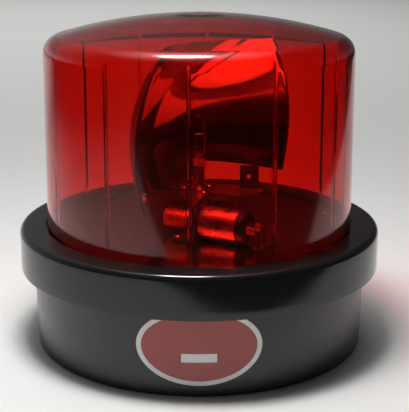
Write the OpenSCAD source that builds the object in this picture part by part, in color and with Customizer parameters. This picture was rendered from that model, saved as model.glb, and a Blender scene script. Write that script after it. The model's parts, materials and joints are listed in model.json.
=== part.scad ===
// Rotating beacon light: fixed lamp on a post, a mirrored bowl that turns
// round it on a worm drive, a domed lens held by a retaining ring, and a
// round base that bolts down.
// Frame: origin at the centre of the base's underside, +Z up, the name
// plate faces -Y.

/* [Base] */
// Outer radius of the base housing at the floor
base_r = 110.1; // [109.5:0.1:110.6]
// Outer radius of the base housing just under the retaining ring
base_top_r = 111.3; // [110.8:0.1:111.6]
// Height of the underside of the retaining ring
ring_z = 51.9; // [51:0.1:53]
// Wall of the base housing
base_wall = 3; // [2.4:0.1:3.4]

/* [Retaining ring] */
// Outer radius of the retaining ring
ring_r = 120; // [119.6:0.1:120.6]
// Height of the retaining ring's flat top
ring_top = 79.5; // [79.2:0.1:80]
// Radius of the ring's outer top edge
ring_edge = 3.8; // [2.5:0.1:4.5]
// Radius of the opening that the dome passes through
ring_in_r = 102.9; // [102.6:0.1:103.2]

/* [Dome] */
// Outer radius of the dome where it leaves the ring
dome_r = 101.7; // [101.4:0.1:101.9]
// Outer radius of the dome where wall and crown would meet
dome_top_r = 100.8; // [100.2:0.1:101.2]
// Height at which wall and crown would meet without the shoulder
dome_corner = 201.5; // [198:0.5:204]
// Height of the crown
dome_apex = 217; // [214:0.5:220]
// Radius of the rounded shoulder
shoulder = 11.9; // [8:0.1:14]
// Wall of the dome
dome_wall = 3; // [2.6:0.1:3.2]
// Number of ribs inside the dome
rib_n = 12; // [6:1:16]
// Bearing of the first rib, from the +X axis
rib_a0 = 266.5; // [250:0.5:280]

/* [Reflector] */
// Focal length of the bowl
focal = 34.8; // [33:0.1:36]
// Radius of the bowl's rim before the top and bottom are cut off
rim_r = 85; // [80:0.5:86]
// Height of the lamp's filament, the bowl's focus
focus_z = 138; // [136:0.5:139]
// Height of the cut along the bottom of the bowl
cut_low = 101; // [101:0.1:103]
// Slope of the notch beside the lamp, up towards the back of the bowl
cut_rise = 14; // [12:0.5:15]
// Where that notch starts, across the bowl
cut_from = 28; // [27:0.5:30]
// Height of the cut along the top of the bowl
cut_high = 197; // [180:0.5:198]
// Bearing that the bowl faces at rest, from the +X axis
aim = -36; // [-180:1:180]

/* [Drive] */
// Module of worm and wheel
gear_m = 0.6; // [0.6:0.6]
// Teeth on the worm wheel
wheel_teeth = 84; // [84:1:84]
// Pitch radius of the worm
worm_r = 5.7; // [5.7:5.7]
// Height of the motor and worm axis
drive_z = 88.2; // [88.2:0.1:88.4]
// Bearing of the motor axis, from the +X axis
drive_a = -28; // [-28:1:-28]
// Radius of the motor can
motor_r = 10.6; // [10:0.1:10.6]

/* [Lamp] */
// Outer radius of the lamp post
post_r = 4; // [4:4]
// Outer radius of the lamp's glass tube
bulb_r = 4.3; // [3.8:0.1:4.5]
// Height of the tip of the lamp
bulb_top = 153; // [150:0.5:156]

/* [Fixings] */
// Diameter of the circle through the four mounting holes
mount_pcd = 150; // [140:1:160]
// Radius of each mounting hole
mount_hole_r = 4.3; // [3.2:0.1:4.5]
// Radius of the cable hole in the grommet
cable_r = 4; // [3:0.1:4.5]

/* [Hidden] */
$fn = 96;
e = 0.01;

black = "#1b1c1e";
ruby = "#b01010";
steel = "#b9bcc0";
brass_c = "#c9a24a";
copper_c = "#b46a3c";
rubber_c = "#141414";

deck_top = 77;
deck_low = 74.5;
wheel_r = gear_m * wheel_teeth / 2;
centre_d = wheel_r + worm_r;
pitch_s = PI * gear_m;
plate_z = 99.3;
plate_t = 1.2;
can_s0 = 20;
can_s1 = 46;
shaft_r = 1.6;

// Outer radius of the base housing at height z
function base_at(z) = base_r + (base_top_r - base_r) * z / ring_z;
// Points along an arc, in degrees
function arc(cx, cz, r, a0, a1, n) =
  [for (i = [0:n]) let (a = a0 + (a1 - a0) * i / n) [cx + r * cos(a), cz + r * sin(a)]];

// Crown sphere and shoulder fillet, offset inwards by w
function crown_r() = dome_top_r * dome_top_r / (2 * (dome_apex - dome_corner)) + (dome_apex - dome_corner) / 2;
crown_c = dome_apex - crown_r();
fil_x = dome_top_r - shoulder;
fil_z = crown_c + sqrt(pow(crown_r() - shoulder, 2) - fil_x * fil_x);
fil_a = atan2(fil_z - crown_c, fil_x);
function dome_profile(w, n = 12) = concat(
  arc(fil_x, fil_z, shoulder - w, 0, fil_a, n),
  [for (i = [1:n]) let (a = fil_a + (90 - fil_a) * i / n)
    [(crown_r() - w) * cos(a) * (i == n ? 0 : 1), crown_c + (crown_r() - w) * (i == n ? 1 : sin(a))]]);

// Parabola of the bowl: distance along its axis at radius r, from the focus
function bowl_x(r) = r * r / (4 * focal) - focal;

// Places the worm's frame: +Z along the motor axis, +Y towards the wheel
module on_drive(s = 0) {
  translate([centre_d * cos(drive_a - 90), centre_d * sin(drive_a - 90), drive_z])
    rotate([0, 0, drive_a]) rotate([0, 90, 0]) translate([0, 0, s]) children();
}
// Places the bowl's frame: +X out of its mouth, origin on the lamp's axis
module on_aim() { rotate([0, 0, aim]) children(); }
module tube(ro, ri, h) {
  difference() { cylinder(r = ro, h = h); translate([0, 0, -1]) cylinder(r = ri, h = h + 2); }
}
// A cross-recess pan head screw, head up, shank below z = 0
module pan_screw(r, l, hr, hh) {
  difference() {
    union() {
      translate([0, 0, -l]) cylinder(r = r, h = l + e);
      cylinder(r = hr, h = hh * 0.6);
      translate([0, 0, hh * 0.6 - e]) cylinder(r1 = hr, r2 = hr * 0.7, h = hh * 0.4);
    }
    for (a = [0, 90]) rotate([0, 0, a])
      translate([-hr * 0.55, -hr * 0.12, hh * 0.45]) cube([hr * 1.1, hr * 0.24, hh]);
  }
}
module ringed(n, r, a0 = 0) {
  for (i = [0:n - 1]) rotate([0, 0, a0 + 360 / n * i]) translate([r, 0, 0]) children();
}
module hex(af, h) { cylinder(r = af / sqrt(3), h = h, $fn = 6); }

// ---------- base ----------
module base_housing() {
  color(black) difference() {
    union() {
      rotate_extrude() polygon(concat(
        [[base_r - base_wall, 0]],
        arc(base_r - 1.2, 1.2, 1.2, -90, 0, 4),
        [[base_top_r, ring_z], [117, ring_z], [117, ring_z + 2.5], [112.5, ring_z + 2.5],
         [112.5, 70.2], [97.9, 70.2], [97.9, deck_low], [90, deck_low], [90, 67.4],
         [109, 67.4], [109, ring_z + 3], [base_top_r - base_wall, ring_z - 1]]));
      ringed(4, 98, 45) translate([0, 0, 3.6]) cylinder(r = 5, h = 16);
      ringed(4, 98, 45) translate([0, -3, 3.6]) cube([10, 6, 16]);
    }
    ringed(4, 98, 45) translate([0, 0, 2]) cylinder(r = 1.75, h = 14, $fn = 32);
    ringed(4, 114.9, 45) translate([0, 0, ring_z - 1]) cylinder(r = 1.5, h = 5, $fn = 32);
    ringed(6, 93.4, 15) translate([0, 0, 69]) cylinder(r = 1.6, h = 8, $fn = 32);
  }
}
module bottom_cover() {
  color(black) difference() {
    translate([0, 0, 1.2]) cylinder(r = base_r - base_wall - 0.5, h = 2.3);
    ringed(4, mount_pcd / 2, 0) cylinder(r = mount_hole_r, h = 6, $fn = 48);
    ringed(4, 98, 45) cylinder(r = 1.9, h = 6, $fn = 32);
    cylinder(r = 8, h = 6);
  }
}
module bottom_cover_screws() {
  color(steel) ringed(4, 98, 45) translate([0, 0, 1.2]) rotate([180, 0, 0]) pan_screw(1.65, 9, 3, 1.1, $fn = 32);
}
module cable_grommet() {
  color(rubber_c) difference() {
    union() {
      translate([0, 0, 0.4]) cylinder(r = 10.5, h = 0.8);
      translate([0, 0, 0.4]) cylinder(r = 7.9, h = 6.6);
      translate([0, 0, 3.5]) cylinder(r = 10.5, h = 1.6);
    }
    translate([0, 0, -1]) cylinder(r = cable_r, h = 12, $fn = 48);
  }
}
// Oval plate that follows the housing's taper, 0.5 mm proud
plate_half_w = 38;
plate_half_h = 24.5;
plate_mid_z = 32;
module name_plate() {
  color("#8c4b4b") difference() {
    intersection() {
      cylinder(r1 = base_at(0) + 0.5, r2 = base_at(ring_z) + 0.5, h = ring_z, $fn = 128);
      translate([0, 0, plate_mid_z]) rotate([90, 0, 0]) linear_extrude(height = 130)
        polygon([for (i = [0:63]) let (a = 360 / 64 * i)
          [base_r * sin(plate_half_w * cos(a) * 57.2958 / base_r), min(plate_half_h * sin(a), ring_z - 0.3 - plate_mid_z)]]);
    }
    translate([0, 0, -1]) cylinder(r1 = base_at(-1) + 0.02, r2 = base_at(ring_z + 1) + 0.02, h = ring_z + 2, $fn = 128);
  }
}
module deck_plate() {
  color("#2a2a2c") difference() {
    translate([0, 0, deck_low]) cylinder(r = 97.4, h = deck_top - deck_low);
    translate([0, 0, 70]) cylinder(r = 4.1, h = 10);
    ringed(6, 93.4, 15) translate([0, 0, 70]) cylinder(r = 1.9, h = 10, $fn = 32);
    bracket_holes() translate([0, 0, 70]) cylinder(r = 1.35, h = 10, $fn = 32);
    on_leads() translate([0, 0, 70]) cylinder(r = 2.3, h = 10, $fn = 32);
  }
}
module deck_screws() {
  color(steel) ringed(6, 93.4, 15) translate([0, 0, deck_top]) pan_screw(1.5, 6.5, 2.8, 1.5, $fn = 32);
}
// Where the motor's two leads go down through the deck
lead_s = 60.4;
lead_y = 4.6;
module on_leads() {
  for (k = [-1, 1]) on_foot(lead_s, lead_y * k) children();
}
module deck_grommet() {
  color(rubber_c) on_leads() difference() {
    union() {
      translate([0, 0, deck_low]) cylinder(r = 2.25, h = 3, $fn = 32);
      translate([0, 0, deck_top]) cylinder(r = 3.4, h = 0.8, $fn = 32);
    }
    translate([0, 0, 70]) cylinder(r = 1, h = 12, $fn = 32);
  }
}
module terminal_block() {
  color("#d9d2bf") difference() {
    on_foot(0, 0) translate([54, -10, 62.5]) cube([13, 20, 12]);
    on_leads() translate([0, 0, 60]) cylinder(r = 1.6, h = 8, $fn = 32);
    on_leads() translate([0, 0, 69]) cylinder(r = 1, h = 8, $fn = 32);
  }
}
module terminal_screws() {
  color(brass_c) on_leads() translate([0, 0, 62.5]) rotate([180, 0, 0]) pan_screw(1.5, 4.5, 2.6, 1.5, $fn = 32);
}
// Two insulated leads from the motor's terminals down to the terminal block
module internal_leads() {
  color("#7a1414") for (k = [-1, 1]) on_drive(lead_s) translate([0, lead_y * k, 0]) rotate([0, 90, 0]) {
    translate([0, 0, 3]) cylinder(r = 0.8, h = drive_z - 3 - 69.2, $fn = 24);
    translate([3, 0, 3]) rotate([90, 0, 0]) rotate([0, 0, 180])
      rotate_extrude(angle = 90, $fn = 24) translate([3, 0]) circle(r = 0.8, $fn = 24);
  }
}

// ---------- lamp ----------
module lamp_post() {
  color(steel) difference() {
    union() {
      translate([0, 0, 66]) cylinder(r = post_r, h = 51);
      translate([0, 0, deck_top]) cylinder(r = 9, h = 2);
    }
    translate([0, 0, 60]) cylinder(r = 2.95, h = 60, $fn = 48);
  }
}
module post_nut() {
  color(steel) translate([0, 0, 70.2]) difference() {
    union() { hex(13, 3.5); translate([0, 0, 3.5 - e]) cylinder(r = 8, h = 0.8 + e); }
    translate([0, 0, -1]) cylinder(r = post_r + 0.02, h = 8, $fn = 64);
  }
}
module lamp_socket() {
  color(brass_c) difference() {
    union() {
      translate([0, 0, 106]) cylinder(r = 2.9, h = 11.5, $fn = 48);
      translate([0, 0, 117]) cylinder(r = 4.2, h = 4.7, $fn = 48);
    }
    for (x = [-1.2, 1.2]) translate([x, 0, 112]) cylinder(r = 0.55, h = 12, $fn = 24);
  }
}
module lamp_base() {
  color("#d8d5cc") union() {
    translate([0, 0, 121.7]) cylinder(r = 3.4, h = 3.6, $fn = 48);
    for (x = [-1.2, 1.2]) translate([x, 0, 114]) cylinder(r = 0.45, h = 8, $fn = 24);
  }
}
module lamp_glass() {
  color("#e8eef0") difference() {
    union() {
      translate([0, 0, 125.3]) cylinder(r = bulb_r, h = bulb_top - bulb_r - 125.3, $fn = 64);
      translate([0, 0, bulb_top - bulb_r]) sphere(r = bulb_r, $fn = 64);
    }
    translate([0, 0, 126.3]) cylinder(r = bulb_r - 0.8, h = bulb_top - bulb_r - 126.3, $fn = 64);
    translate([0, 0, bulb_top - bulb_r]) sphere(r = bulb_r - 0.8, $fn = 64);
  }
}
module lamp_filament() {
  color("#8a8d90") {
    for (x = [-1.6, 1.6]) translate([x, 0, 126.3]) cylinder(r = 0.25, h = focus_z - 126.3, $fn = 16);
    translate([-2.4, 0, focus_z]) rotate([0, 90, 0]) cylinder(r = 0.7, h = 4.8, $fn = 24);
  }
}
module post_collar() {
  color(steel) difference() {
    union() {
      translate([0, 0, plate_z + plate_t + 0.3]) cylinder(r = 7, h = 0.8, $fn = 64);
      translate([0, 0, plate_z + plate_t + 1.1 - e]) cylinder(r1 = 6.4, r2 = 4.7, h = 2.2 + e, $fn = 64);
    }
    translate([0, 0, 98]) cylinder(r = post_r + 0.02, h = 10, $fn = 64);
  }
}
module thrust_washer() {
  color(brass_c) translate([0, 0, deck_top + 2]) tube(7.5, post_r + 0.05, 0.8);
}

// ---------- motor ----------
// Screw places in the bracket's foot
module bracket_holes() {
  for (y = [-10, 3]) on_foot(6, y) children();
}
module on_foot(s, y) {
  rotate([0, 0, drive_a]) translate([s, -centre_d + y, 0]) children();
}
module motor_bracket() {
  color("#3a3b3d") difference() {
    union() {
      rotate([0, 0, drive_a]) translate([18, -centre_d - 13, deck_top]) cube([1.6, 20.5, 21.6]);
      rotate([0, 0, drive_a]) translate([3, -centre_d - 13, deck_top]) cube([16, 20.5, 1.6]);
    }
    on_drive(12) cylinder(r = 4.2, h = 8, $fn = 48);
    bracket_holes() translate([0, 0, 70]) cylinder(r = 1.6, h = 12, $fn = 32);
  }
}
module bracket_screws() {
  color(steel) bracket_holes() translate([0, 0, deck_top + 1.6]) pan_screw(1.3, 6, 2.4, 1.4, $fn = 32);
}
module motor_can() {
  color(steel) on_drive() difference() {
    union() {
      translate([0, 0, can_s0]) cylinder(r = motor_r - 0.8, h = 1, $fn = 96);
      translate([0, 0, can_s0 + 0.8]) cylinder(r = motor_r, h = can_s1 - can_s0 - 0.8);
      translate([0, 0, can_s0 - 2]) cylinder(r = 4, h = 3, $fn = 48);
    }
    translate([0, 0, can_s0 + 1.2]) cylinder(r = motor_r - 0.8, h = 40);
    translate([0, 0, can_s0 - 4]) cylinder(r = 3, h = 8, $fn = 48);
  }
}
module motor_magnets() {
  color("#4a4a4e") on_drive(can_s0 + 4) difference() {
    cylinder(r = motor_r - 0.85, h = 18);
    translate([0, 0, -1]) cylinder(r = motor_r - 3.2, h = 24);
    for (a = [0, 180]) rotate([0, 0, a]) translate([-2.5, 0, -1]) cube([5, 20, 24]);
  }
}
module motor_end_cap() {
  color("#101012") on_drive(can_s1) difference() {
    union() {
      cylinder(r = motor_r - 0.02, h = 4.6);
      translate([0, 0, 4.6 - e]) cylinder(r1 = motor_r - 0.4, r2 = motor_r - 1.6, h = 1.2);
      translate([0, 0, 5.7]) cylinder(r = 4.4, h = 2, $fn = 48);
    }
    translate([0, 0, -1]) cylinder(r = 3, h = 5.4, $fn = 48);
    for (k = [-1, 1]) translate([-2.6, 4.6 * k - 0.5, -1]) cube([5.2, 1, 12]);
    for (a = [0, 180]) rotate([0, 0, a]) translate([5.4, -1.6, 4.9]) cube([2.6, 3.2, 4]);
  }
}
module motor_terminals() {
  color(brass_c) on_drive(can_s1) for (k = [-1, 1]) translate([-2.4, 4.6 * k - 0.4, 0]) difference() {
    cube([4.8, 0.8, 11.4]);
    translate([2.4, -1, 9.6]) rotate([-90, 0, 0]) cylinder(r = 0.9, h = 3, $fn = 24);
  }
}
module front_bearing() {
  color(brass_c) on_drive(can_s0 - 2) tube(2.98, shaft_r + 0.04, 3.2, $fn = 48);
}
module rear_bearing() {
  color(brass_c) on_drive(can_s1 + 1.4) tube(2.98, shaft_r + 0.04, 3, $fn = 48);
}
module motor_brushes() {
  color("#3b3632") on_drive(can_s1 - 3.4) for (k = [-1, 1])
    translate([-1.2, k > 0 ? 3.3 : -5.5, 0]) cube([2.4, 2.2, 3]);
}
module motor_shaft() {
  color(steel) on_drive(-9) cylinder(r = shaft_r, h = can_s1 + 4.2 + 9, $fn = 48);
}
module armature_core() {
  color("#8d9094") on_drive(can_s0 + 6) difference() {
    cylinder(r = 6.6, h = 13);
    for (a = [0, 120, 240]) rotate([0, 0, a + 60]) translate([2.8, -1, -1]) cube([8, 2, 20]);
    translate([0, 0, -1]) cylinder(r = shaft_r + 0.02, h = 20, $fn = 48);
  }
}
module armature_windings() {
  color(copper_c) on_drive(can_s0 + 6) for (a = [0, 120, 240]) rotate([0, 0, a + 60])
    translate([3, -0.85, -1.2]) cube([3.3, 1.7, 15.4]);
}
module commutator() {
  color(copper_c) on_drive(can_s1 - 4) tube(3, shaft_r + 0.02, 3.8, $fn = 48);
}
// Single-start thread: one ring of four points for every 1/24 turn
module thread(turns, r0, r1) {
  n = 24;
  m = round(turns * n);
  w = pitch_s;
  pts = [for (i = [0:m]) let (a = 360 * i / n + 90, z = w * i / n,
      t = min(1, i / 8, (m - i) / 8), rt = r0 + 0.35 + (r1 - r0 - 0.35) * t)
    each [[r0 * cos(a), r0 * sin(a), z - 0.31 * w], [rt * cos(a), rt * sin(a), z - 0.1 * w],
          [rt * cos(a), rt * sin(a), z + 0.1 * w], [r0 * cos(a), r0 * sin(a), z + 0.31 * w]]];
  faces = concat([[2, 1, 0], [3, 2, 0]], [[4 * m, 4 * m + 1, 4 * m + 2], [4 * m, 4 * m + 2, 4 * m + 3]],
    [for (i = [0:m - 1], j = [0:3]) each
      [[4 * i + (j + 1) % 4, 4 * (i + 1) + j, 4 * i + j],
       [4 * i + (j + 1) % 4, 4 * (i + 1) + (j + 1) % 4, 4 * (i + 1) + j]]]);
  polyhedron(points = pts, faces = faces, convexity = 8);
}
module worm() {
  color(brass_c) on_drive() difference() {
    union() {
      translate([0, 0, -7.4]) cylinder(r = worm_r - 0.6, h = 24, $fn = 48);
      translate([0, 0, 9.4]) cylinder(r1 = 5.5, r2 = 5.2, h = 7.4, $fn = 48);
      translate([0, 0, -4 * pitch_s]) thread(9, worm_r - 0.8, worm_r + 0.45);
    }
    translate([0, 0, -12]) cylinder(r = shaft_r + 0.04, h = 40, $fn = 32);
  }
}

// ---------- rotor ----------
module wheel_hub() {
  color(brass_c) difference() {
    union() {
      translate([0, 0, deck_top + 2.85]) cylinder(r = 7.5, h = plate_z - deck_top - 2.85);
      translate([0, 0, plate_z - 2]) cylinder(r = 13, h = 2);
      translate([0, 0, drive_z - 3]) cylinder(r = 11, h = 1.5);
    }
    translate([0, 0, 70]) cylinder(r = post_r + 0.05, h = 40);
    ringed(3, 10.3, 168) translate([0, 0, 90]) cylinder(r = 1.25, h = 12, $fn = 32);
  }
}
module worm_wheel() {
  tip = wheel_r + 0.45;
  root = wheel_r - 0.75;
  st = 360 / wheel_teeth;
  color(brass_c) translate([0, 0, drive_z - 1.5]) difference() {
    linear_extrude(height = 3)
      polygon([for (i = [0:wheel_teeth - 1]) let (a = drive_a - 90 + st * (i + 0.5)) each
        [root * [cos(a - 0.3 * st), sin(a - 0.3 * st)], tip * [cos(a - 0.09 * st), sin(a - 0.09 * st)],
         tip * [cos(a + 0.09 * st), sin(a + 0.09 * st)], root * [cos(a + 0.3 * st), sin(a + 0.3 * st)]]]);
    translate([0, 0, -1]) cylinder(r = 7.52, h = 5);
    ringed(5, 16, 20) translate([0, 0, -1]) cylinder(r = 3.6, h = 5, $fn = 48);
  }
}
// The carrier's arm over the worm: -Y along it, its lip on the +X side
module on_arm() { rotate([0, 0, -13.2]) children(); }
// Back face of the bowl's bracket, along the bowl's axis
back_x = -focal - 4.6;
// Place of the upturned tab on the carrier
tab_x = 27.5;
tab_w = 12.6;
tab_y = 1.6;
module carrier_plate() {
  color("#4b4d50") difference() {
    union() {
      translate([0, 0, plate_z]) linear_extrude(height = plate_t)
        polygon([[9.5, 13], [tab_x, 12], [tab_x, tab_y + 1.2], [43.2, tab_y + 1.2], [43.2, -6], [26, -20], [8, -10]]);
      on_arm() translate([0, 0, plate_z]) linear_extrude(height = plate_t)
        polygon([[-12, -2.4], [-3, -24.8], [6.3, -50.2], [8.7, -50.2], [8.7, 12], [0, 12]]);
      on_arm() translate([7.7, -50.2, plate_z]) cube([1, 62.2, plate_t + 2]);
      translate([0, 0, plate_z]) cylinder(r = 13, h = plate_t);
      on_aim() translate([back_x - 4.8, -8, plate_z]) cube([4.8 - back_x, 16, plate_t]);
      translate([tab_x, tab_y, plate_z]) cube([tab_w, 1.2, 17]);
    }
    translate([0, 0, 90]) cylinder(r = 5, h = 20, $fn = 64);
    ringed(3, 10.3, 168) translate([0, 0, 90]) cylinder(r = 1.45, h = 20, $fn = 32);
    translate([tab_x + tab_w * 0.47, tab_y - 3, plate_z + 9.4]) rotate([-90, 0, 0]) cylinder(r = 1.6, h = 8, $fn = 32);
    for (y = [-4.5, 4.5]) on_aim() translate([back_x + 4.2, y, 90]) cylinder(r = 1.3, h = 20, $fn = 32);
  }
}
module carrier_screws() {
  color(steel) ringed(3, 10.3, 168) translate([0, 0, plate_z + plate_t]) pan_screw(1.2, 3, 2, 1.2, $fn = 32);
}
stud_z = [focus_z - 15, focus_z];
module reflector() {
  n = 22;
  inner = [for (i = [0:n]) let (r = rim_r * i / n) [r, bowl_x(r)]];
  outer = [for (i = [n:-1:0]) let (r = rim_r * i / n, k = atan2(r, 2 * focal)) [max(0, r + 0.9 * sin(k) * (i == 0 ? 0 : 1)), bowl_x(r) - 0.9 * cos(k)]];
  color("silver") union() {
    on_aim() translate([0, 0, focus_z]) difference() {
      rotate([0, 90, 0]) rotate_extrude($fn = 128) polygon(concat(inner, [[rim_r + 1.8, bowl_x(rim_r) + 0.2], [rim_r + 1.8, bowl_x(rim_r) - 1]], outer));
      translate([-60, -100, -80 - (focus_z - cut_low)]) cube([120, 200, 80]);
      translate([bowl_x(rim_r) + 2, cut_from, cut_low - focus_z]) rotate([0, cut_rise, 0]) translate([-90, 0, -80]) cube([120, 100, 80]);
      translate([-60, -100, cut_high - focus_z]) cube([120, 200, 80]);
    }
    for (z = stud_z) let (r = abs(z - focus_z)) on_aim() translate([back_x - 3.2, 0, z]) rotate([0, 90, 0])
      cylinder(r = 1.9, h = bowl_x(r) - 0.5 - back_x + 3.2, $fn = 32);
    for (z = stud_z) let (r = abs(z - focus_z)) on_aim() translate([back_x + 1.2, 0, z]) rotate([0, 90, 0])
      cylinder(r = 4.2, h = bowl_x(r) - 0.5 - back_x - 1.2, $fn = 32);
  }
}
module reflector_bracket() {
  color("#4b4d50") on_aim() difference() {
    union() {
      translate([back_x, -7.5, plate_z + plate_t]) cube([1.2, 15, focus_z + 8 - plate_z - plate_t]);
      translate([back_x, -7.5, plate_z + plate_t]) cube([10, 15, 1.2]);
    }
    for (z = stud_z) translate([back_x - 4, 0, z]) rotate([0, 90, 0]) cylinder(r = 2, h = 8, $fn = 32);
    for (y = [-4.5, 4.5]) translate([back_x + 4.2, y, 90]) cylinder(r = 1.3, h = 20, $fn = 32);
  }
}
module reflector_nuts() {
  color(steel) on_aim() for (z = stud_z) translate([back_x - 2.6, 0, z]) rotate([0, 90, 0]) difference() {
    hex(6.4, 2.6);
    translate([0, 0, -1]) cylinder(r = 1.95, h = 6, $fn = 32);
  }
}
module bracket_rivets() {
  color(steel) on_aim() for (y = [-4.5, 4.5]) translate([back_x + 4.2, y, 0]) {
    translate([0, 0, plate_z - 0.25]) cylinder(r = 2.2, h = 0.25, $fn = 32);
    translate([0, 0, plate_z - 0.1]) cylinder(r = 1.25, h = plate_t + 1.3, $fn = 32);
    translate([0, 0, plate_z + plate_t + 1.2]) cylinder(r1 = 2.2, r2 = 1.4, h = 0.8, $fn = 32);
  }
}

// ---------- cover ----------
module dome_gasket() {
  color(rubber_c) translate([0, 0, 70.2]) tube(112, 99.4, 2.9);
}
module dome() {
  outer = dome_profile(0);
  inner = dome_profile(dome_wall);
  k = len(inner);
  color(ruby, 0.6) union() {
    rotate_extrude($fn = 128) polygon(concat(
      [[dome_r - dome_wall, 73.3], [112, 73.3], [112, 76.3], [dome_r, 76.3], [dome_r, ring_top]],
      outer, [for (i = [k - 1:-1:0]) inner[i]]));
    for (i = [0:rib_n - 1]) rotate([0, 0, rib_a0 + 360 / rib_n * i])
      translate([dome_top_r - dome_wall - 1, -0.8, 84]) cube([2.8, 1.6, fil_z - 3 - 84]);
  }
}
module retaining_ring() {
  color(black) difference() {
    union() {
      rotate_extrude($fn = 128) polygon(concat(
        [[117.4, ring_z], [ring_r - 0.6, ring_z], [ring_r, ring_z + 0.6]],
        arc(ring_r - ring_edge, ring_top - ring_edge, ring_edge, 0, 90, 6),
        [[ring_in_r + 0.8, ring_top], [ring_in_r, ring_top - 0.8], [ring_in_r, 76.4], [114, 76.4], [117.4, 74]]));
      ringed(4, 114.9, 45) translate([0, 0, ring_z + 2.9]) cylinder(r = 2.2, h = 22, $fn = 48);
      ringed(4, 114.9, 45) translate([0, -1.5, ring_z + 2.9]) cube([3.4, 3, 22]);
    }
    ringed(4, 114.9, 45) translate([0, 0, ring_z]) cylinder(r = 1.65, h = 16, $fn = 32);
  }
}
module ring_screws() {
  color(steel) ringed(4, 114.9, 45) translate([0, 0, ring_z]) rotate([180, 0, 0]) pan_screw(1.3, 14, 2.1, 1.4, $fn = 32);
}

base_housing();
bottom_cover();
bottom_cover_screws();
cable_grommet();
name_plate();
deck_plate();
deck_screws();
deck_grommet();
terminal_block();
terminal_screws();
internal_leads();
lamp_post();
post_nut();
lamp_socket();
lamp_base();
lamp_glass();
lamp_filament();
post_collar();
thrust_washer();
motor_bracket();
bracket_screws();
motor_can();
motor_end_cap();
motor_terminals();
motor_magnets();
front_bearing();
rear_bearing();
motor_brushes();
motor_shaft();
worm();
armature_core();
armature_windings();
commutator();
wheel_hub();
worm_wheel();
carrier_plate();
carrier_screws();
reflector();
reflector_bracket();
reflector_nuts();
bracket_rivets();
dome_gasket();
dome();
retaining_ring();
ring_screws();
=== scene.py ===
import bmesh
import bpy
import json
import math
from mathutils import Matrix, Vector


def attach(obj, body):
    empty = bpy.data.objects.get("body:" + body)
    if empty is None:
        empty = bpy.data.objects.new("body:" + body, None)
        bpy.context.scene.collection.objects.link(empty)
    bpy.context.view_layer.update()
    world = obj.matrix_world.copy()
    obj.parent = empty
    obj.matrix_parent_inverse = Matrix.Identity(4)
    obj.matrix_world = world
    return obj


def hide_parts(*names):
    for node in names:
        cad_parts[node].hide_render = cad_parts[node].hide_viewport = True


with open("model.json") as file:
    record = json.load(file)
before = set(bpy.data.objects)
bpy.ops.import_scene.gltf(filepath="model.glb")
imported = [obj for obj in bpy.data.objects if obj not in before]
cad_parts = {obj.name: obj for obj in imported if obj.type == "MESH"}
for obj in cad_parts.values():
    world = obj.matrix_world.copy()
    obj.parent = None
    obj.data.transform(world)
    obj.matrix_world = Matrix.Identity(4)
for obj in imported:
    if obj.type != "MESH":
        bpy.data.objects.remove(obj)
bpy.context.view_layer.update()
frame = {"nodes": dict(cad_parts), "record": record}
N = frame["nodes"]

MM = 0.001
coll = bpy.context.scene.collection


# ------------------------------------------------------------------ helpers
def new_obj(name, verts, faces, smooth=True, sharp=None, scale=MM):
    me = bpy.data.meshes.new(name)
    me.from_pydata([tuple(c * scale for c in v) for v in verts], [], faces)
    me.validate()
    bm = bmesh.new()
    bm.from_mesh(me)
    bmesh.ops.remove_doubles(bm, verts=bm.verts, dist=1e-7)
    bmesh.ops.recalc_face_normals(bm, faces=bm.faces)
    bm.to_mesh(me)
    bm.free()
    for p in me.polygons:
        p.use_smooth = smooth
    o = bpy.data.objects.new(name, me)
    coll.objects.link(o)
    if sharp is not None:
        me.set_sharp_from_angle(angle=math.radians(sharp))
    return o


def arc(cx, cz, r, a0, a1, n):
    return [
        (
            cx + r * math.cos(math.radians(a0 + (a1 - a0) * i / n)),
            cz + r * math.sin(math.radians(a0 + (a1 - a0) * i / n)),
        )
        for i in range(n + 1)
    ]


def revolve(name, profile, seg=192, closed=True, sharp=35, radial=None, smooth=True):
    """Turns a (radius, z) profile round Z; radial(angle, i, r, z) may shift a point's radius."""
    verts, faces = [], []
    rings = []
    for i, (r, z) in enumerate(profile):
        if r < 1e-6:
            rings.append([len(verts)] * seg)
            verts.append((0, 0, z))
            continue
        ring = []
        for k in range(seg):
            a = 2 * math.pi * k / seg
            rr = r if radial is None else radial(a, i, r, z)
            ring.append(len(verts))
            verts.append((rr * math.cos(a), rr * math.sin(a), z))
        rings.append(ring)
    m = len(profile)
    for i in range(m if closed else m - 1):
        a, b = rings[i], rings[(i + 1) % m]
        for k in range(seg):
            q = [a[k], a[(k + 1) % seg], b[(k + 1) % seg], b[k]]
            q = [v for j, v in enumerate(q) if v not in q[:j]]
            if len(q) > 2:
                faces.append(q)
    return new_obj(name, verts, faces, smooth, sharp)


def tube_along(name, pts, r, sides=12):
    """A round closed tube along points in mm."""
    P = [Vector(p) for p in pts]
    verts, faces = [], []
    up = Vector((0.137, 0.291, 1)).normalized()
    for i, p in enumerate(P):
        t = (P[min(i + 1, len(P) - 1)] - P[max(i - 1, 0)]).normalized()
        x = t.cross(up).normalized()
        y = t.cross(x)
        for k in range(sides):
            a = 2 * math.pi * k / sides
            verts.append(tuple(p + r * (math.cos(a) * x + math.sin(a) * y)))
    for i in range(len(P) - 1):
        for k in range(sides):
            faces.append([i * sides + k, i * sides + (k + 1) % sides, (i + 1) * sides + (k + 1) % sides, (i + 1) * sides + k])
    faces.append(list(range(sides))[::-1])
    faces.append([(len(P) - 1) * sides + k for k in range(sides)])
    return new_obj(name, verts, faces, True, 50)


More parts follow.
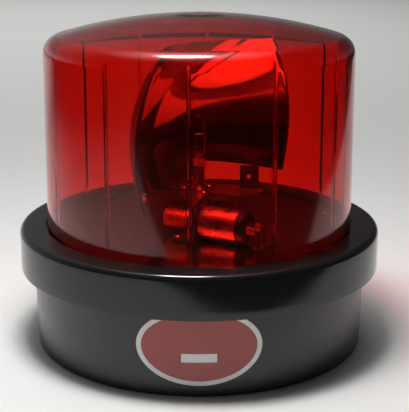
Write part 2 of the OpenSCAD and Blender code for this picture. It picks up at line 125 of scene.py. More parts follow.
class Mat:
    """A small builder for node materials."""

    def __init__(self, name):
        self.m = bpy.data.materials.new(name)
        self.m.use_nodes = True
        self.nt = self.m.node_tree
        self.nt.nodes.clear()
        self.out = self.nt.nodes.new("ShaderNodeOutputMaterial")
        self._x = 0

    def node(self, kind, **values):
        n = self.nt.nodes.new(kind)
        for k, v in values.items():
            if hasattr(n, k):
                setattr(n, k, v)
            else:
                n.inputs[k.replace("_", " ")].default_value = v
        return n

    def link(self, a, b):
        self.nt.links.new(a, b)

    def principled(self, color, rough, metal=0.0, **kw):
        p = self.nt.nodes.new("ShaderNodeBsdfPrincipled")
        p.inputs["Base Color"].default_value = (*color, 1)
        p.inputs["Roughness"].default_value = rough
        p.inputs["Metallic"].default_value = metal
        for k, v in kw.items():
            p.inputs[k.replace("_", " ")].default_value = v
        self.p = p
        return p

    def coords(self, scale=(1, 1, 1)):
        tc = self.nt.nodes.new("ShaderNodeTexCoord")
        mp = self.nt.nodes.new("ShaderNodeMapping")
        mp.inputs["Scale"].default_value = scale
        self.link(tc.outputs["Object"], mp.inputs["Vector"])
        return mp.outputs["Vector"]

    def noise(self, scale, detail=3.0, rough=0.55, vec=None, distortion=0.0):
        n = self.nt.nodes.new("ShaderNodeTexNoise")
        n.inputs["Scale"].default_value = scale
        n.inputs["Detail"].default_value = detail
        n.inputs["Roughness"].default_value = rough
        n.inputs["Distortion"].default_value = distortion
        self.link(vec if vec is not None else self.coords(), n.inputs["Vector"])
        return n.outputs["Fac"]

    def ramp(self, fac, stops):
        r = self.nt.nodes.new("ShaderNodeValToRGB")
        cr = r.color_ramp
        while len(cr.elements) < len(stops):
            cr.elements.new(0.5)
        for e, (pos, c) in zip(cr.elements, stops):
            e.position = pos
            e.color = (*c, 1) if len(c) == 3 else c
        self.link(fac, r.inputs["Fac"])
        return r.outputs["Color"]

    def span(self, fac, a, b, lo=0.3, hi=0.7):
        r = self.nt.nodes.new("ShaderNodeMapRange")
        r.inputs["From Min"].default_value = lo
        r.inputs["From Max"].default_value = hi
        r.inputs["To Min"].default_value = a
        r.inputs["To Max"].default_value = b
        self.link(fac, r.inputs["Value"])
        return r.outputs["Result"]

    def bump(self, height, strength, distance, normal=None):
        b = self.nt.nodes.new("ShaderNodeBump")
        b.inputs["Strength"].default_value = strength
        b.inputs["Distance"].default_value = distance
        self.link(height, b.inputs["Height"])
        if normal is not None:
            self.link(normal, b.inputs["Normal"])
        return b.outputs["Normal"]

    def done(self, shader=None):
        self.link((shader or self.p.outputs["BSDF"]), self.out.inputs["Surface"])
        return self.m


def mixed(m, fac, a, b):
    """Mix of two colours by a factor socket."""
    n = m.nt.nodes.new("ShaderNodeMix")
    n.data_type = "RGBA"
    m.link(fac, n.inputs["Factor"])
    n.inputs["A"].default_value = (*a, 1)
    n.inputs["B"].default_value = (*b, 1)
    return n.outputs["Result"]


def plain(name, color, rough, metal=0.0, vary=0.12, scale=60, bump=0.0, bump_d=0.0002, rough_vary=0.06, **kw):
    """A surface with mottled colour and roughness, and a little bump."""
    m = Mat(name)
    p = m.principled(color, rough, metal, **kw)
    f = m.noise(scale, 4)
    dark = tuple(c * (1 - vary) for c in color)
    light = tuple(min(1, c * (1 + vary)) for c in color)
    m.link(mixed(m, f, dark, light), p.inputs["Base Color"])
    f2 = m.noise(scale * 2.7, 5)
    m.link(m.span(f2, max(0.0, rough - rough_vary), min(1, rough + rough_vary)), p.inputs["Roughness"])
    if bump:
        m.link(m.bump(m.noise(scale * 8, 4), bump, bump_d), p.inputs["Normal"])
    return m.done()


# ------------------------------------------------------------------ materials
def mat_housing():
    m = Mat("housing_black")
    p = m.principled((0.017, 0.017, 0.018), 0.3, 0, Specular_IOR_Level=0.55, Coat_Weight=0.15, Coat_Roughness=0.25)
    f = m.noise(22, 5, 0.6)
    m.link(mixed(m, f, (0.014, 0.014, 0.0145), (0.021, 0.021, 0.022)), p.inputs["Base Color"])
    g = m.noise(140, 4, 0.6)
    m.link(m.span(g, 0.27, 0.36), p.inputs["Roughness"])
    m.link(m.bump(m.noise(900, 3, 0.6), 0.12, 0.00012, m.bump(m.noise(35, 3, 0.5), 0.1, 0.0006)), p.inputs["Normal"])
    return m.done()


def mat_ring():
    m = Mat("ring_gloss")
    p = m.principled((0.010, 0.010, 0.011), 0.09, 0, Specular_IOR_Level=0.55)
    f = m.noise(30, 5, 0.6)
    m.link(mixed(m, f, (0.008, 0.008, 0.0085), (0.014, 0.014, 0.0145)), p.inputs["Base Color"])
    g = m.noise(220, 5, 0.7, distortion=0.3)
    m.link(m.span(g, 0.07, 0.15), p.inputs["Roughness"])
    m.link(m.bump(m.noise(45, 3, 0.5), 0.06, 0.0005), p.inputs["Normal"])
    return m.done()


def mat_dome():
    """Red acrylic, coloured by its depth, with a little surface haze. Light that grazes it goes no further."""
    m = Mat("red_lens")
    p = m.principled((0.99, 0.99, 0.99), 0.0, 0, IOR=1.49, Transmission_Weight=1.0, Coat_Weight=0.35, Coat_Roughness=0.22, Coat_IOR=1.49)
    ab = m.nt.nodes.new("ShaderNodeVolumeAbsorption")
    ab.inputs["Color"].default_value = (0.963, 0.19, 0.02, 1)
    ab.inputs["Density"].default_value = 950.0
    m.link(ab.outputs["Volume"], m.out.inputs["Volume"])
    edge = m.node("ShaderNodeLayerWeight", Blend=0.5)
    t = m.nt.nodes.new("ShaderNodeBsdfTransparent")
    m.link(m.ramp(edge.outputs["Facing"], [(0.0, (0.97, 0.97, 0.97)), (0.4, (0.93, 0.93, 0.93)), (0.8, (0.5, 0.5, 0.5)), (1.0, (0.05, 0.05, 0.05))]), t.inputs["Color"])
    lp = m.nt.nodes.new("ShaderNodeLightPath")
    mx = m.nt.nodes.new("ShaderNodeMixShader")
    m.link(lp.outputs["Is Shadow Ray"], mx.inputs[0])
    m.link(p.outputs["BSDF"], mx.inputs[1])
    m.link(t.outputs["BSDF"], mx.inputs[2])
    return m.done(mx.outputs["Shader"])


def mat_bulb():
    m = Mat("clear_glass")
    p = m.principled((0.97, 0.98, 0.99), 0.0, 0, IOR=1.47, Transmission_Weight=1.0)
    t = m.nt.nodes.new("ShaderNodeBsdfTransparent")
    t.inputs["Color"].default_value = (0.95, 0.96, 0.97, 1)
    lp = m.nt.nodes.new("ShaderNodeLightPath")
    mx = m.nt.nodes.new("ShaderNodeMixShader")
    m.link(lp.outputs["Is Shadow Ray"], mx.inputs[0])
    m.link(p.outputs["BSDF"], mx.inputs[1])
    m.link(t.outputs["BSDF"], mx.inputs[2])
    return m.done(mx.outputs["Shader"])


def mat_mirror():
    m = Mat("mirror")
    p = m.principled((0.94, 0.94, 0.945), 0.04, 1.0)
    f = m.noise(70, 4, 0.6)
    m.link(mixed(m, f, (0.92, 0.92, 0.925), (0.97, 0.97, 0.97)), p.inputs["Base Color"])
    m.link(m.span(m.noise(260, 5, 0.7), 0.03, 0.09), p.inputs["Roughness"])
    m.link(m.bump(m.noise(28, 2, 0.5), 0.12, 0.0006), p.inputs["Normal"])
    return m.done()


def mat_spun():
    """The bowl's back: spun aluminium coloured dark as painted shade, so that its lit edge shows dark, with a fine
    grain.
    """
    m = Mat("spun_aluminium")
    p = m.principled((0.1, 0.1, 0.1), 0.32, 0.6)
    f = m.noise(420, 5, 0.7)
    m.link(mixed(m, f, (0.06, 0.06, 0.062), (0.1, 0.1, 0.102)), p.inputs["Base Color"])
    m.link(m.span(m.noise(90, 4), 0.26, 0.4), p.inputs["Roughness"])
    m.link(m.bump(f, 0.15, 0.0001), p.inputs["Normal"])
    return m.done()


def mat_steel(name, color=(0.6, 0.6, 0.61), rough=0.28):
    m = Mat(name)
    p = m.principled(color, rough, 1.0)
    f = m.noise(500, 5, 0.7)
    m.link(mixed(m, f, tuple(c * 0.82 for c in color), tuple(min(1, c * 1.1) for c in color)), p.inputs["Base Color"])
    m.link(m.span(m.noise(130, 4), rough - 0.08, rough + 0.1), p.inputs["Roughness"])
    m.link(m.bump(f, 0.08, 0.00005), p.inputs["Normal"])
    return m.done()


def mat_deck():
    """Rolled steel plate with a dull plated finish: bright from above, dark at a low angle."""
    m = Mat("deck_dark")
    p = m.principled((0.95, 0.95, 0.95), 0.3, 1.0, Specular_Tint=(0.1, 0.1, 0.1, 1))
    f = m.noise(35, 5, 0.6)
    m.link(mixed(m, f, (0.92, 0.92, 0.92), (0.99, 0.99, 0.99)), p.inputs["Base Color"])
    low = m.node("ShaderNodeLayerWeight", Blend=0.5)
    grain = m.nt.nodes.new("ShaderNodeMath")
    grain.operation = "ADD"
    m.link(m.span(low.outputs["Facing"], 0.6, 0.16, 0.45, 0.66), grain.inputs[0])
    m.link(m.span(m.noise(160, 5, 0.65), -0.03, 0.04), grain.inputs[1])
    m.link(grain.outputs[0], p.inputs["Roughness"])
    m.link(m.bump(m.noise(60, 3), 0.05, 0.0004), p.inputs["Normal"])
    return m.done()


MATS = {
    "housing_black": mat_housing(),
    "ring_gloss": mat_ring(),
    "red_lens": mat_dome(),
    "plate_maroon": plain("plate_maroon", (0.28, 0.075, 0.07), 0.35, vary=0.1, scale=90),
    "deck_dark": mat_deck(),
    "mirror": mat_mirror(),
    "plated_steel": mat_steel("plated_steel", (0.62, 0.62, 0.62), 0.22),
    "motor_steel": mat_steel("motor_steel", (0.72, 0.71, 0.7), 0.3),
    "bracket_dark": plain("bracket_dark", (0.05, 0.05, 0.053), 0.35, vary=0.2, scale=120, bump=0.1),
    "brass": mat_steel("brass", (0.78, 0.56, 0.25), 0.25),
    "bronze": mat_steel("bronze", (0.48, 0.32, 0.16), 0.45),
    "copper": mat_steel("copper", (0.72, 0.37, 0.22), 0.3),
    "black_rubber": plain("black_rubber", (0.02, 0.02, 0.02), 0.7, vary=0.2, scale=150, bump=0.2),
    "cream_plastic": plain("cream_plastic", (0.68, 0.62, 0.5), 0.5, vary=0.08, scale=80, bump=0.08),
    "motor_plastic": plain("motor_plastic", (0.014, 0.014, 0.015), 0.3, vary=0.2, scale=110, bump=0.08),
    "lead_red": plain("lead_red", (0.035, 0.012, 0.012), 0.4, vary=0.1, scale=120),
    "ceramic": plain("ceramic", (0.2, 0.19, 0.18), 0.35, vary=0.1, scale=150),
    "clear_glass": mat_bulb(),
    "filament": mat_steel("filament", (0.35, 0.35, 0.36), 0.4),
    "ferrite": plain("ferrite", (0.05, 0.05, 0.055), 0.55, vary=0.2, scale=200),
    "carbon": plain("carbon", (0.035, 0.035, 0.035), 0.6, vary=0.2, scale=250),
}
slot_of = {s["node"]: s["material_slot"] for s in frame["record"]["subparts"]}
for name, o in N.items():
    o.data.materials.clear()
    o.data.materials.append(MATS[slot_of[name]])
# the wheel is coloured a dark brown brass as painted shade, the worm beside it rubbed bright
N["worm_wheel"].data.materials[0] = mat_steel("shaded_brass", (0.16, 0.11, 0.06), 0.5)
N["worm"].data.materials[0] = mat_steel("worn_brass", (0.95, 0.68, 0.32), 0.42)
N["lamp_socket"].data.materials[0] = mat_steel("socket_shell", (0.9, 0.88, 0.85), 0.45)
N["deck_screws"].data.materials[0] = plain("blacked_screws", (0.03, 0.03, 0.03), 0.6, vary=0.2, scale=200, Specular_IOR_Level=0.2)
N["motor_terminals"].data.materials[0] = mat_steel("tinned_brass", (0.95, 0.9, 0.8), 0.45)


def dress(o, mat, body, *nodes, slot=None):
    if not o.data.materials:
        o.data.materials.append(MATS[mat] if isinstance(mat, str) else mat)
    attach(o, body)
    if nodes:
        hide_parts(*nodes)
    return o


# ------------------------------------------------------------------ dimensions, mm
BASE_R, BASE_TOP_R, RING_Z = 110.1, 111.3, 51.9
RING_R, RING_TOP, RING_IN = 120.0, 79.5, 102.9
DOME_R, DOME_TOP_R, CORNER, APEX, SHOULDER, WALL = 101.7, 100.8, 201.5, 217.0, 11.9, 3.0
FOCAL, RIM_R, FOCUS_Z, CUT_LOW, CUT_HIGH, AIM, CUT_RISE, CUT_FROM = 34.8, 85.0, 138.0, 101.0, 197.0, -36.0, 14.0, 28.0
DRIVE_A, CENTRE_D, DRIVE_Z = -28.0, 30.9, 88.2

crown_r = DOME_TOP_R**2 / (2 * (APEX - CORNER)) + (APEX - CORNER) / 2
crown_c = APEX - crown_r
fil_x = DOME_TOP_R - SHOULDER
fil_z = crown_c + math.sqrt((crown_r - SHOULDER) ** 2 - fil_x**2)
fil_a = math.degrees(math.atan2(fil_z - crown_c, fil_x))


# ------------------------------------------------------------------ dome
def make_dome():
    rib_n, rib_a0 = 12, 266.5
    angles = []
    for i in range(rib_n):
        a = rib_a0 + 30.0 * i
        for d in (-1.0, -0.75, -0.58, -0.42, -0.28, -0.14, 0, 0.14, 0.28, 0.42, 0.58, 0.75, 1.0):
            angles.append((a + d, d))
        k = 14
        for j in range(1, k):
            angles.append((a + 1.0 + 28.0 * j / k, None))
    angles = [(math.radians(a), d) for a, d in angles]
    seg = len(angles)

    def wall(w, bottom, corner, top_w):
        """Side, corner and crown of a wall face, w (top_w on the crown) inside the outer one, with its own corner radius."""
        pts = []
        side = 26
        cx = DOME_TOP_R - w - corner
        cz = crown_c + math.sqrt((crown_r - top_w - corner) ** 2 - cx**2)
        end = math.degrees(math.atan2(cz - crown_c, cx))
        z0, z1 = bottom, cz
        for i in range(side + 1):
            t = i / side
            z = z0 + (z1 - z0) * t
            pts.append((DOME_R - w + (DOME_TOP_R - DOME_R) * (z - RING_TOP) / (cz - RING_TOP), z))
        pts += arc(cx, cz, corner, 0, end, 22)[1:]
        for i in range(1, 29):
            a = math.radians(end + (90 - end) * i / 28)
            pts.append(((crown_r - top_w) * math.cos(a) if i < 28 else 0.0, crown_c + (crown_r - top_w) * math.sin(a)))
        return pts

    outer = wall(0, RING_TOP, SHOULDER, 0)
    inner = wall(WALL, 76.3, 11.0, 2.6)
    prof = [(DOME_R - WALL, 73.3, 0), (112.0, 73.3, 0), (112.0, 76.3, 0), (DOME_R + 0.1, 76.3, 0)]
    prof += [(r, z, 1) for r, z in outer] + [(r, z, 2) for r, z in reversed(inner)]
    verts, rings = [], []
    for r, z, kind in prof:
        if r < 1e-6:
            # a small moulding mark at the middle of the crown
            rings.append([len(verts)] * seg)
            verts.append((0, 0, z))
            continue
        ring = []
        for a, d in angles:
            rr, zz = r, z
            if kind == 2 and d is not None and z > 83.0 and z < fil_z + 6:
                # half-round rib on the inside, running out to a point at the bottom and into the shoulder at the top
                low = min(1.0, max(0.0, (z - 83.0) / 9.0))
                high = min(1.0, max(0.0, (fil_z + 4 - z) / 8.0))
                wide = 0.75 * (0.55 + 0.45 * low)
                h = 1.5 * math.sqrt(max(0.0, 1 - (d / wide) ** 2)) * low * high
                rr = r - h
            if kind == 1 and z > CORNER + 4 and r < 16:
                t = min(1.0, max(0.0, (14.2 - r) / 1.2))
                zz = z + 0.35 * t * t * (3 - 2 * t)
            ring.append(len(verts))
            verts.append((rr * math.cos(a), rr * math.sin(a), zz))
        rings.append(ring)
    faces = []
    m = len(prof)
    for i in range(m):
        p, q = rings[i], rings[(i + 1) % m]
        for k in range(seg):
            f = [p[k], p[(k + 1) % seg], q[(k + 1) % seg], q[k]]
            f = [v for j, v in enumerate(f) if v not in f[:j]]
            if len(f) > 2:
                faces.append(f)
    return new_obj("dome_lens", verts, faces, True, 40)


dome = dress(make_dome(), "red_lens", "cover", "dome")


# ------------------------------------------------------------------ retaining ring
def make_ring():
    e = 3.8
    prof = [(117.4, RING_Z + 0.4), (117.8, RING_Z), (RING_R - 0.9, RING_Z)]
    prof += arc(RING_R - 0.9, RING_Z + 0.9, 0.9, -90, 0, 6)[1:]
    prof += [(RING_R, RING_Z + 6), (RING_R, RING_TOP - 9)]
    prof += arc(RING_R - e, RING_TOP - e, e, 0, 90, 16)
    prof += [(RING_IN + 8, RING_TOP), (RING_IN + 1.4, RING_TOP)]
    prof += arc(RING_IN + 0.9, RING_TOP - 0.9, 0.9, 90, 180, 6)
    prof += [(RING_IN, 76.4), (114, 76.4), (117.4, 74)]
    return revolve("ring_band", prof, 256, True, 50)


ring = dress(make_ring(), "ring_gloss", "cover", "retaining_ring")


# ------------------------------------------------------------------ base housing
def make_housing():
    prof = [(BASE_R - 3, 0.3), (BASE_R - 2.7, 0), (BASE_R - 1.4, 0)]
    prof += arc(BASE_R - 1.4, 1.4, 1.4, -80, 0, 8)
    prof += [(BASE_R + 1.2 * z / RING_Z, z) for z in (4, 10, 20, 30, 40, 48)]
    prof += [(BASE_TOP_R, RING_Z), (117, RING_Z), (117, RING_Z + 2.5), (112.5, RING_Z + 2.5), (112.5, 70.2), (97.9, 70.2), (97.9, 74.5), (90, 74.5), (90, 67.4), (109, 67.4), (109, 54.9), (BASE_TOP_R - 3, 50.9)]
    return revolve("housing_shell", prof, 256, True, 40)


housing = dress(make_housing(), "housing_black", "base", "base_housing")


# ------------------------------------------------------------------ name plate, blank
def mat_plate():
    """Printed oval: pale border, maroon field and an empty pale panel, drawn as separate meshes so that edges stay crisp."""
    return (
        plain("plate_white", (0.96, 0.955, 0.93), 0.3, vary=0.03, scale=70, Coat_Weight=0.2, Coat_Roughness=0.12),
        plain("plate_field", (0.47, 0.09, 0.085), 0.34, vary=0.1, scale=60, Coat_Weight=0.15, Coat_Roughness=0.12),
    )


WHITE, FIELD = mat_plate()


def base_at(z):
    return BASE_R + (BASE_TOP_R - BASE_R) * z / RING_Z


def oval_patch(name, hw, hh, mid_z, proud, n=96, top=None, x0=0.0):
    """A filled oval bent round the base, with a thin edge back to its surface."""
    rings = 14
    verts, faces = [], []

    def place(u, v, out):
        z = mid_z + v
        if top is not None:
            z = min(z, top)
        r = base_at(z) + out
        a = -math.pi / 2 + (u + x0) / BASE_R
        return (r * math.cos(a), r * math.sin(a), z)

    verts.append(place(0, 0, proud))
    for i in range(1, rings + 1):
        t = i / rings
        for k in range(n):
            a = 2 * math.pi * k / n
            verts.append(place(hw * t * math.cos(a), hh * t * math.sin(a), proud if i < rings else proud - 0.03))
    for k in range(n):
        a = 2 * math.pi * k / n
        verts.append(place(hw * 1.001 * math.cos(a), hh * 1.001 * math.sin(a), 0.03))
    for k in range(n):
        verts_k = 1 + k
        faces.append([0, verts_k, 1 + (k + 1) % n])
    for i in range(rings):
        for k in range(n):
            p, q = 1 + i * n, 1 + (i + 1) * n
            faces.append([p + k, q + k, q + (k + 1) % n, p + (k + 1) % n])
    back = len(verts)
    verts.append(place(0, 0, 0.03))
    last = 1 + rings * n
    for k in range(n):
        faces.append([back, last + (k + 1) % n, last + k])
    return new_obj(name, verts, faces, True, 40)


def panel(name, hw, hh, mid_z, proud):
    nx, nz = 16, 3
    verts, faces = [], []
    for out in (proud, 0.2):
        for j in range(nz + 1):
            for i in range(nx + 1):
                u, z = -hw + 2 * hw * i / nx, mid_z - hh + 2 * hh * j / nz
                r, a = base_at(z) + out, -math.pi / 2 + u / BASE_R
                verts.append((r * math.cos(a), r * math.sin(a), z))
    w = nx + 1
    off = w * (nz + 1)
    for j in range(nz):
        for i in range(nx):
            q = [j * w + i, j * w + i + 1, (j + 1) * w + i + 1, (j + 1) * w + i]
            faces += [q, [off + v for v in reversed(q)]]
    rim = [i for i in range(nx)] + [w * j + nx for j in range(nz)] + [nz * w + nx - i for i in range(nx)] + [w * (nz - j) for j in range(nz)]
    for a, b in zip(rim, rim[1:] + rim[:1]):
        faces.append([a, b, off + b, off + a])
    return new_obj(name, verts, faces, False)


plate = oval_patch("plate_border", 38.0, 24.5, 32.0, 0.42, top=RING_Z - 0.25)
plate.data.materials.append(WHITE)
dress(plate, WHITE, "base", "name_plate", slot="plate_maroon")
field = oval_patch("plate_field", 34.9, 21.6, 32.0, 0.48, top=RING_Z - 0.25)
field.data.materials.append(FIELD)
dress(field, FIELD, "base", slot="plate_maroon")
pan = panel("plate_panel", 10.6, 2.7, 25.4, 0.53)
pan.data.materials.append(WHITE)
dress(pan, WHITE, "base", slot="plate_maroon")


# ------------------------------------------------------------------ reflector
def bowl_x(r):
    return r * r / (4 * FOCAL) - FOCAL


def make_reflector():
    seg, n = 220, 60
    th = 0.8
    prof = []  # (radius, distance along the axis, inside or not)
    for i in range(n + 1):
        r = RIM_R * i / n
        prof.append((r, bowl_x(r), 0))
    # rolled lip
    for d in range(1, 10):
        a = math.radians(150 - d * 30)
        prof.append((RIM_R + 0.95 + 1.1 * math.cos(a), bowl_x(RIM_R) - 0.2 + 1.1 * math.sin(a), 1))
    for i in range(n, -1, -1):
        r = RIM_R * i / n
        k = math.atan2(r, 2 * FOCAL)
        prof.append((r + th * math.sin(k) * (1 if i else 0), bowl_x(r) - th * math.cos(k), 1))
    bm = bmesh.new()
    rings = []
    ca, sa = math.cos(math.radians(AIM)), math.sin(math.radians(AIM))

    def at(x, y, z):
        return Vector((x * ca - y * sa, x * sa + y * ca, FOCUS_Z + z)) * MM

    for r, x, side in prof:
        if r < 1e-6:
            v = bm.verts.new(at(x, 0, 0))
            rings.append([v] * seg)
            continue
        rings.append([bm.verts.new(at(x, r * math.cos(2 * math.pi * k / seg), r * math.sin(2 * math.pi * k / seg))) for k in range(seg)])
    for i in range(len(prof) - 1):
        for k in range(seg):
            q = [rings[i][k], rings[i][(k + 1) % seg], rings[i + 1][(k + 1) % seg], rings[i + 1][k]]
            q = [v for j, v in enumerate(q) if v not in q[:j]]
            if len(q) > 2:
                f = bm.faces.new(q)
                f.material_index = 0 if (prof[i][2] == 0 and prof[i + 1][2] == 0) else 1
    bmesh.ops.recalc_face_normals(bm, faces=bm.faces)
    me = bpy.data.meshes.new("reflector_bowl")
    bm.to_mesh(me)
    bm.free()
    o = bpy.data.objects.new("reflector_bowl", me)
    coll.objects.link(o)
    me.materials.append(MATS["mirror"])
    me.materials.append(mat_spun())
    # the bottom and the top cut off, and the notch beside the lamp
    rise = math.radians(CUT_RISE)
    along, up = (math.cos(rise), -math.sin(rise)), (math.sin(rise), math.cos(rise))
    px, pz = bowl_x(RIM_R) + 2, CUT_LOW - FOCUS_Z

    def slab(x0, x1, y0, y1, z0, z1, tilted=False):
        pts = []
        for x in (x0, x1):
            for y in (y0, y1):
                for z in (z0, z1):
                    pts.append(at(px + x * along[0] + z * up[0], y, pz + x * along[1] + z * up[1]) if tilted else at(x, y, z))
        cm = bpy.data.meshes.new("cutter")
        cm.from_pydata(pts, [], [(0, 1, 3, 2), (4, 6, 7, 5), (0, 4, 5, 1), (2, 3, 7, 6), (0, 2, 6, 4), (1, 5, 7, 3)])
        c = bpy.data.objects.new("cutter", cm)
        coll.objects.link(c)
        return c

    cutters = [slab(-60, 60, -100, 100, pz - 80, pz), slab(-60, 60, -100, 100, CUT_HIGH - FOCUS_Z, CUT_HIGH - FOCUS_Z + 80),
               slab(-90, 30, CUT_FROM, CUT_FROM + 100, -80, 0, True)]
    for c in cutters:
        mod = o.modifiers.new("cut", "BOOLEAN")
        mod.operation, mod.solver, mod.object = "DIFFERENCE", "EXACT", c
    bpy.context.view_layer.update()
    cut = bpy.data.meshes.new_from_object(o.evaluated_get(bpy.context.evaluated_depsgraph_get()))
    o.modifiers.clear()
    o.data = cut
    for c in cutters:
        bpy.data.objects.remove(c, do_unlink=True)
    back = Vector((math.cos(math.radians(AIM)), math.sin(math.radians(AIM)), 0))
    side = Vector((-back.y, back.x, 0))
    for p in cut.polygons:
        q = p.center / MM
        x, y, z = q.dot(back), q.dot(side), q.z - FOCUS_Z
        tilt = (x - px) * up[0] + (z - pz) * up[1]
        if abs(z - pz) < 0.01 or abs(z - CUT_HIGH + FOCUS_Z) < 0.01 or (y > CUT_FROM - 0.01 and abs(tilt) < 0.01) or (abs(y - CUT_FROM) < 0.01 and abs(p.normal.dot(side)) > 0.99):
            p.material_index = 1
        p.use_smooth = True
    cut.set_sharp_from_angle(angle=math.radians(45))
    return o


bowl = dress(make_reflector(), "mirror", "rotor")

# studs on the bowl's back that the bracket bolts to
stud_verts, stud_faces = [], []
for z in (FOCUS_Z - 15, FOCUS_Z):
    r = abs(z - FOCUS_Z)
    x_back = bowl_x(r) - 0.6
    bx = -FOCAL - 4.6
    prof = [(0, bx - 3.2), (1.5, bx - 3.2), (1.9, bx - 2.8), (1.9, bx + 1.2), (3.9, bx + 1.2), (4.2, bx + 1.5), (4.2, x_back), (0, x_back)]
    seg = 40
    ca, sa = math.cos(math.radians(AIM)), math.sin(math.radians(AIM))
    rings = []
    for rr, x in prof:
        if rr == 0:
            rings.append([len(stud_verts)] * seg)
            stud_verts.append((x * ca, x * sa, z))
            continue
        ring = []
        for k in range(seg):
            a = 2 * math.pi * k / seg
            y, dz = rr * math.cos(a), rr * math.sin(a)
            ring.append(len(stud_verts))
            stud_verts.append((x * ca - y * sa, x * sa + y * ca, z + dz))
        rings.append(ring)
    for i in range(len(prof) - 1):
        for k in range(seg):
            q = [rings[i][k], rings[i][(k + 1) % seg], rings[i + 1][(k + 1) % seg], rings[i + 1][k]]
            q = [v for j, v in enumerate(q) if v not in q[:j]]
            if len(q) > 2:
                stud_faces.append(q)
studs = new_obj("reflector_studs", stud_verts, stud_faces, True, 40)
dress(studs, "plated_steel", "rotor")
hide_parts("reflector")


# ------------------------------------------------------------------ stage
def make_floor():
    """A pale floor. In glossy reflections it ends a little way out, as a sheet of white paper does in a dark studio."""
    m = Mat("stage_floor")
    p = m.principled((0.8, 0.797, 0.785), 0.6, 0, Specular_IOR_Level=0.2)
    m.link(mixed(m, m.noise(1.5, 2), (0.79, 0.788, 0.776), (0.81, 0.808, 0.796)), p.inputs["Base Color"])
    geo = m.nt.nodes.new("ShaderNodeNewGeometry")
    sep = m.nt.nodes.new("ShaderNodeSeparateXYZ")
    m.link(geo.outputs["Position"], sep.inputs[0])

    def step(sock, a, b):
        r = m.nt.nodes.new("ShaderNodeMapRange")
        r.interpolation_type = "SMOOTHSTEP"
        r.inputs["From Min"].default_value = a
        r.inputs["From Max"].default_value = b
        m.link(sock, r.inputs["Value"])
        return r.outputs["Result"]

    def math_node(op, a, b):
        n = m.nt.nodes.new("ShaderNodeMath")
        n.operation = op
        for i, v in enumerate((a, b)):
            if isinstance(v, (int, float)):
                n.inputs[i].default_value = v
            else:
                m.link(v, n.inputs[i])
        return n.outputs[0]

    # the sheet's left side fades out, its front and right edges are cut, and it lies askew
    near_left = step(sep.outputs["X"], -1.05, -0.4)
    far_left = step(math_node("ADD", sep.outputs["Y"], math_node("MULTIPLY", sep.outputs["X"], 0.9)), -0.35, 0.25)
    left = math_node("MAXIMUM", near_left, far_left)
    right = step(math_node("SUBTRACT", sep.outputs["X"], math_node("MULTIPLY", sep.outputs["Y"], 0.25)), 0.55, 0.49)
    front = step(math_node("SUBTRACT", sep.outputs["Y"], math_node("MULTIPLY", sep.outputs["X"], 0.55)), -0.31, -0.26)
    on = math_node("MULTIPLY", math_node("MULTIPLY", left, right), front)
    lp = m.nt.nodes.new("ShaderNodeLightPath")
    glossy = math_node("GREATER_THAN", lp.outputs["Glossy Depth"], 0.5)
    off = math_node("MULTIPLY", glossy, math_node("SUBTRACT", 1.0, on))
    dark = m.nt.nodes.new("ShaderNodeBsdfDiffuse")
    dark.inputs["Color"].default_value = (0.03, 0.03, 0.03, 1)
    mx = m.nt.nodes.new("ShaderNodeMixShader")
    m.link(off, mx.inputs[0])
    m.link(p.outputs["BSDF"], mx.inputs[1])
    m.link(dark.outputs["BSDF"], mx.inputs[2])
    m.done(mx.outputs["Shader"])
    s = 9.0
    o = new_obj("stage_floor", [(-s, -s, 0), (s, -s, 0), (s, s, 0), (-s, s, 0)], [[0, 1, 2, 3]], False, None, 1.0)
    o.data.materials.append(m.m)
    return o


make_floor()

world = bpy.data.worlds.new("studio")
bpy.context.scene.world = world
world.use_nodes = True
nt = world.node_tree
nt.nodes.clear()
wo = nt.nodes.new("ShaderNodeOutputWorld")
bg = nt.nodes.new("ShaderNodeBackground")
tc = nt.nodes.new("ShaderNodeTexCoord")
sep = nt.nodes.new("ShaderNodeSeparateXYZ")
nt.links.new(tc.outputs["Generated"], sep.inputs[0])


def world_range(sock, a, b, lo, hi):
    r = nt.nodes.new("ShaderNodeMapRange")
    r.interpolation_type = "SMOOTHSTEP"
    r.inputs["From Min"].default_value = a
    r.inputs["From Max"].default_value = b
    r.inputs["To Min"].default_value = lo
    r.inputs["To Max"].default_value = hi
    nt.links.new(sock, r.inputs["Value"])
    return r.outputs["Result"]


def world_times(a, b):
    n = nt.nodes.new("ShaderNodeMath")
    n.operation = "MULTIPLY"
    nt.links.new(a, n.inputs[0])
    nt.links.new(b, n.inputs[1])
    return n.outputs[0]


# a pale wall far behind, brightest at its foot and towards the left, and a dark room in front
wall = world_range(sep.outputs["Z"], 0.0, 0.26, 0.46, 0.17)
behind = world_range(sep.outputs["Y"], -0.35, 0.75, 0.05, 1.0)
side = world_range(sep.outputs["X"], -0.55, 0.45, 1.25, 0.2)
nt.links.new(world_times(world_times(wall, behind), side), bg.inputs["Strength"])
bg.inputs["Color"].default_value = (1.0, 0.99, 0.975, 1)
nt.links.new(bg.outputs["Background"], wo.inputs["Surface"])


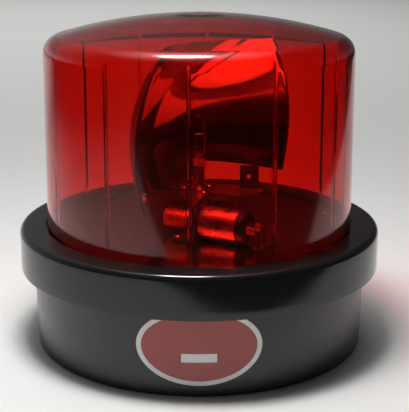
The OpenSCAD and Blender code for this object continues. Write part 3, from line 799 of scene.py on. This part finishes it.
def area(name, loc, target, size, size_y, power, color=(1, 1, 1), soft=0.0, spread=180):
    """A softbox; soft is the share of its half width over which it fades out at the edges."""
    l = bpy.data.lights.new(name, "AREA")
    l.shape = "RECTANGLE"
    l.size, l.size_y = size, size_y
    l.energy = power
    l.color = color
    l.spread = math.radians(spread)
    o = bpy.data.objects.new(name, l)
    o.location = loc
    o.rotation_mode = "QUATERNION"
    o.rotation_quaternion = (Vector(target) - Vector(loc)).to_track_quat("-Z", "Y")
    coll.objects.link(o)
    if soft:
        l.use_nodes = True
        t = l.node_tree
        em = next(n for n in t.nodes if n.type == "EMISSION")
        geo = t.nodes.new("ShaderNodeNewGeometry")
        sx = t.nodes.new("ShaderNodeSeparateXYZ")
        t.links.new(geo.outputs["Parametric"], sx.inputs[0])
        fades = []
        for axis in ("X", "Y"):
            d = t.nodes.new("ShaderNodeMath")
            d.operation = "SUBTRACT"
            t.links.new(sx.outputs[axis], d.inputs[0])
            d.inputs[1].default_value = 0.5
            ab = t.nodes.new("ShaderNodeMath")
            ab.operation = "ABSOLUTE"
            t.links.new(d.outputs[0], ab.inputs[0])
            r = t.nodes.new("ShaderNodeMapRange")
            r.interpolation_type = "SMOOTHSTEP"
            r.inputs["From Min"].default_value = 0.5
            r.inputs["From Max"].default_value = 0.5 * (1 - soft)
            t.links.new(ab.outputs[0], r.inputs["Value"])
            fades.append(r.outputs["Result"])
        mul = t.nodes.new("ShaderNodeMath")
        mul.operation = "MULTIPLY"
        t.links.new(fades[0], mul.inputs[0])
        t.links.new(fades[1], mul.inputs[1])
        t.links.new(mul.outputs[0], em.inputs["Strength"])
    return o


def watts(radiance, size, size_y):
    return radiance * math.pi * size * size_y


area("key", (-0.058, -0.09, 0.697), (-0.058, -0.09, 0.0), 0.27, 0.18, watts(86, 0.27, 0.18), soft=0.85)
area("key_halo", (-0.055, -0.05, 0.70), (-0.055, -0.05, 0.0), 0.9, 0.8, watts(1.8, 0.9, 0.8), soft=1.0)
lamp = area("back_wash", (-0.45, 2.05, 1.3), (-0.45, 2.05, 0.0), 3.4, 3.6, watts(0.79, 3.4, 3.6), soft=0.3, spread=112)
lamp.visible_glossy = False

# ------------------------------------------------------------------ camera
R = 0.12
cam_data = bpy.data.cameras.new("camera")
cam = bpy.data.objects.new("camera", cam_data)
coll.objects.link(cam)
cam_data.sensor_fit = "AUTO"
cam_data.sensor_width = 36.0
cam_data.lens = 1062.6 * 36.0 / 412.0
cam_data.shift_x = 5.34 / 412.0
cam.rotation_mode = "XYZ"
cam.location = (0.0, -5.7774 * R, 2.3141 * R)
cam.rotation_euler = (math.pi / 2 - 0.2665, 0.0, 0.0)
cam_data.clip_start, cam_data.clip_end = 0.01, 50
bpy.context.scene.camera = cam
bpy.context.scene.view_settings.view_transform = "Standard"
bpy.context.scene.view_settings.look = "None"
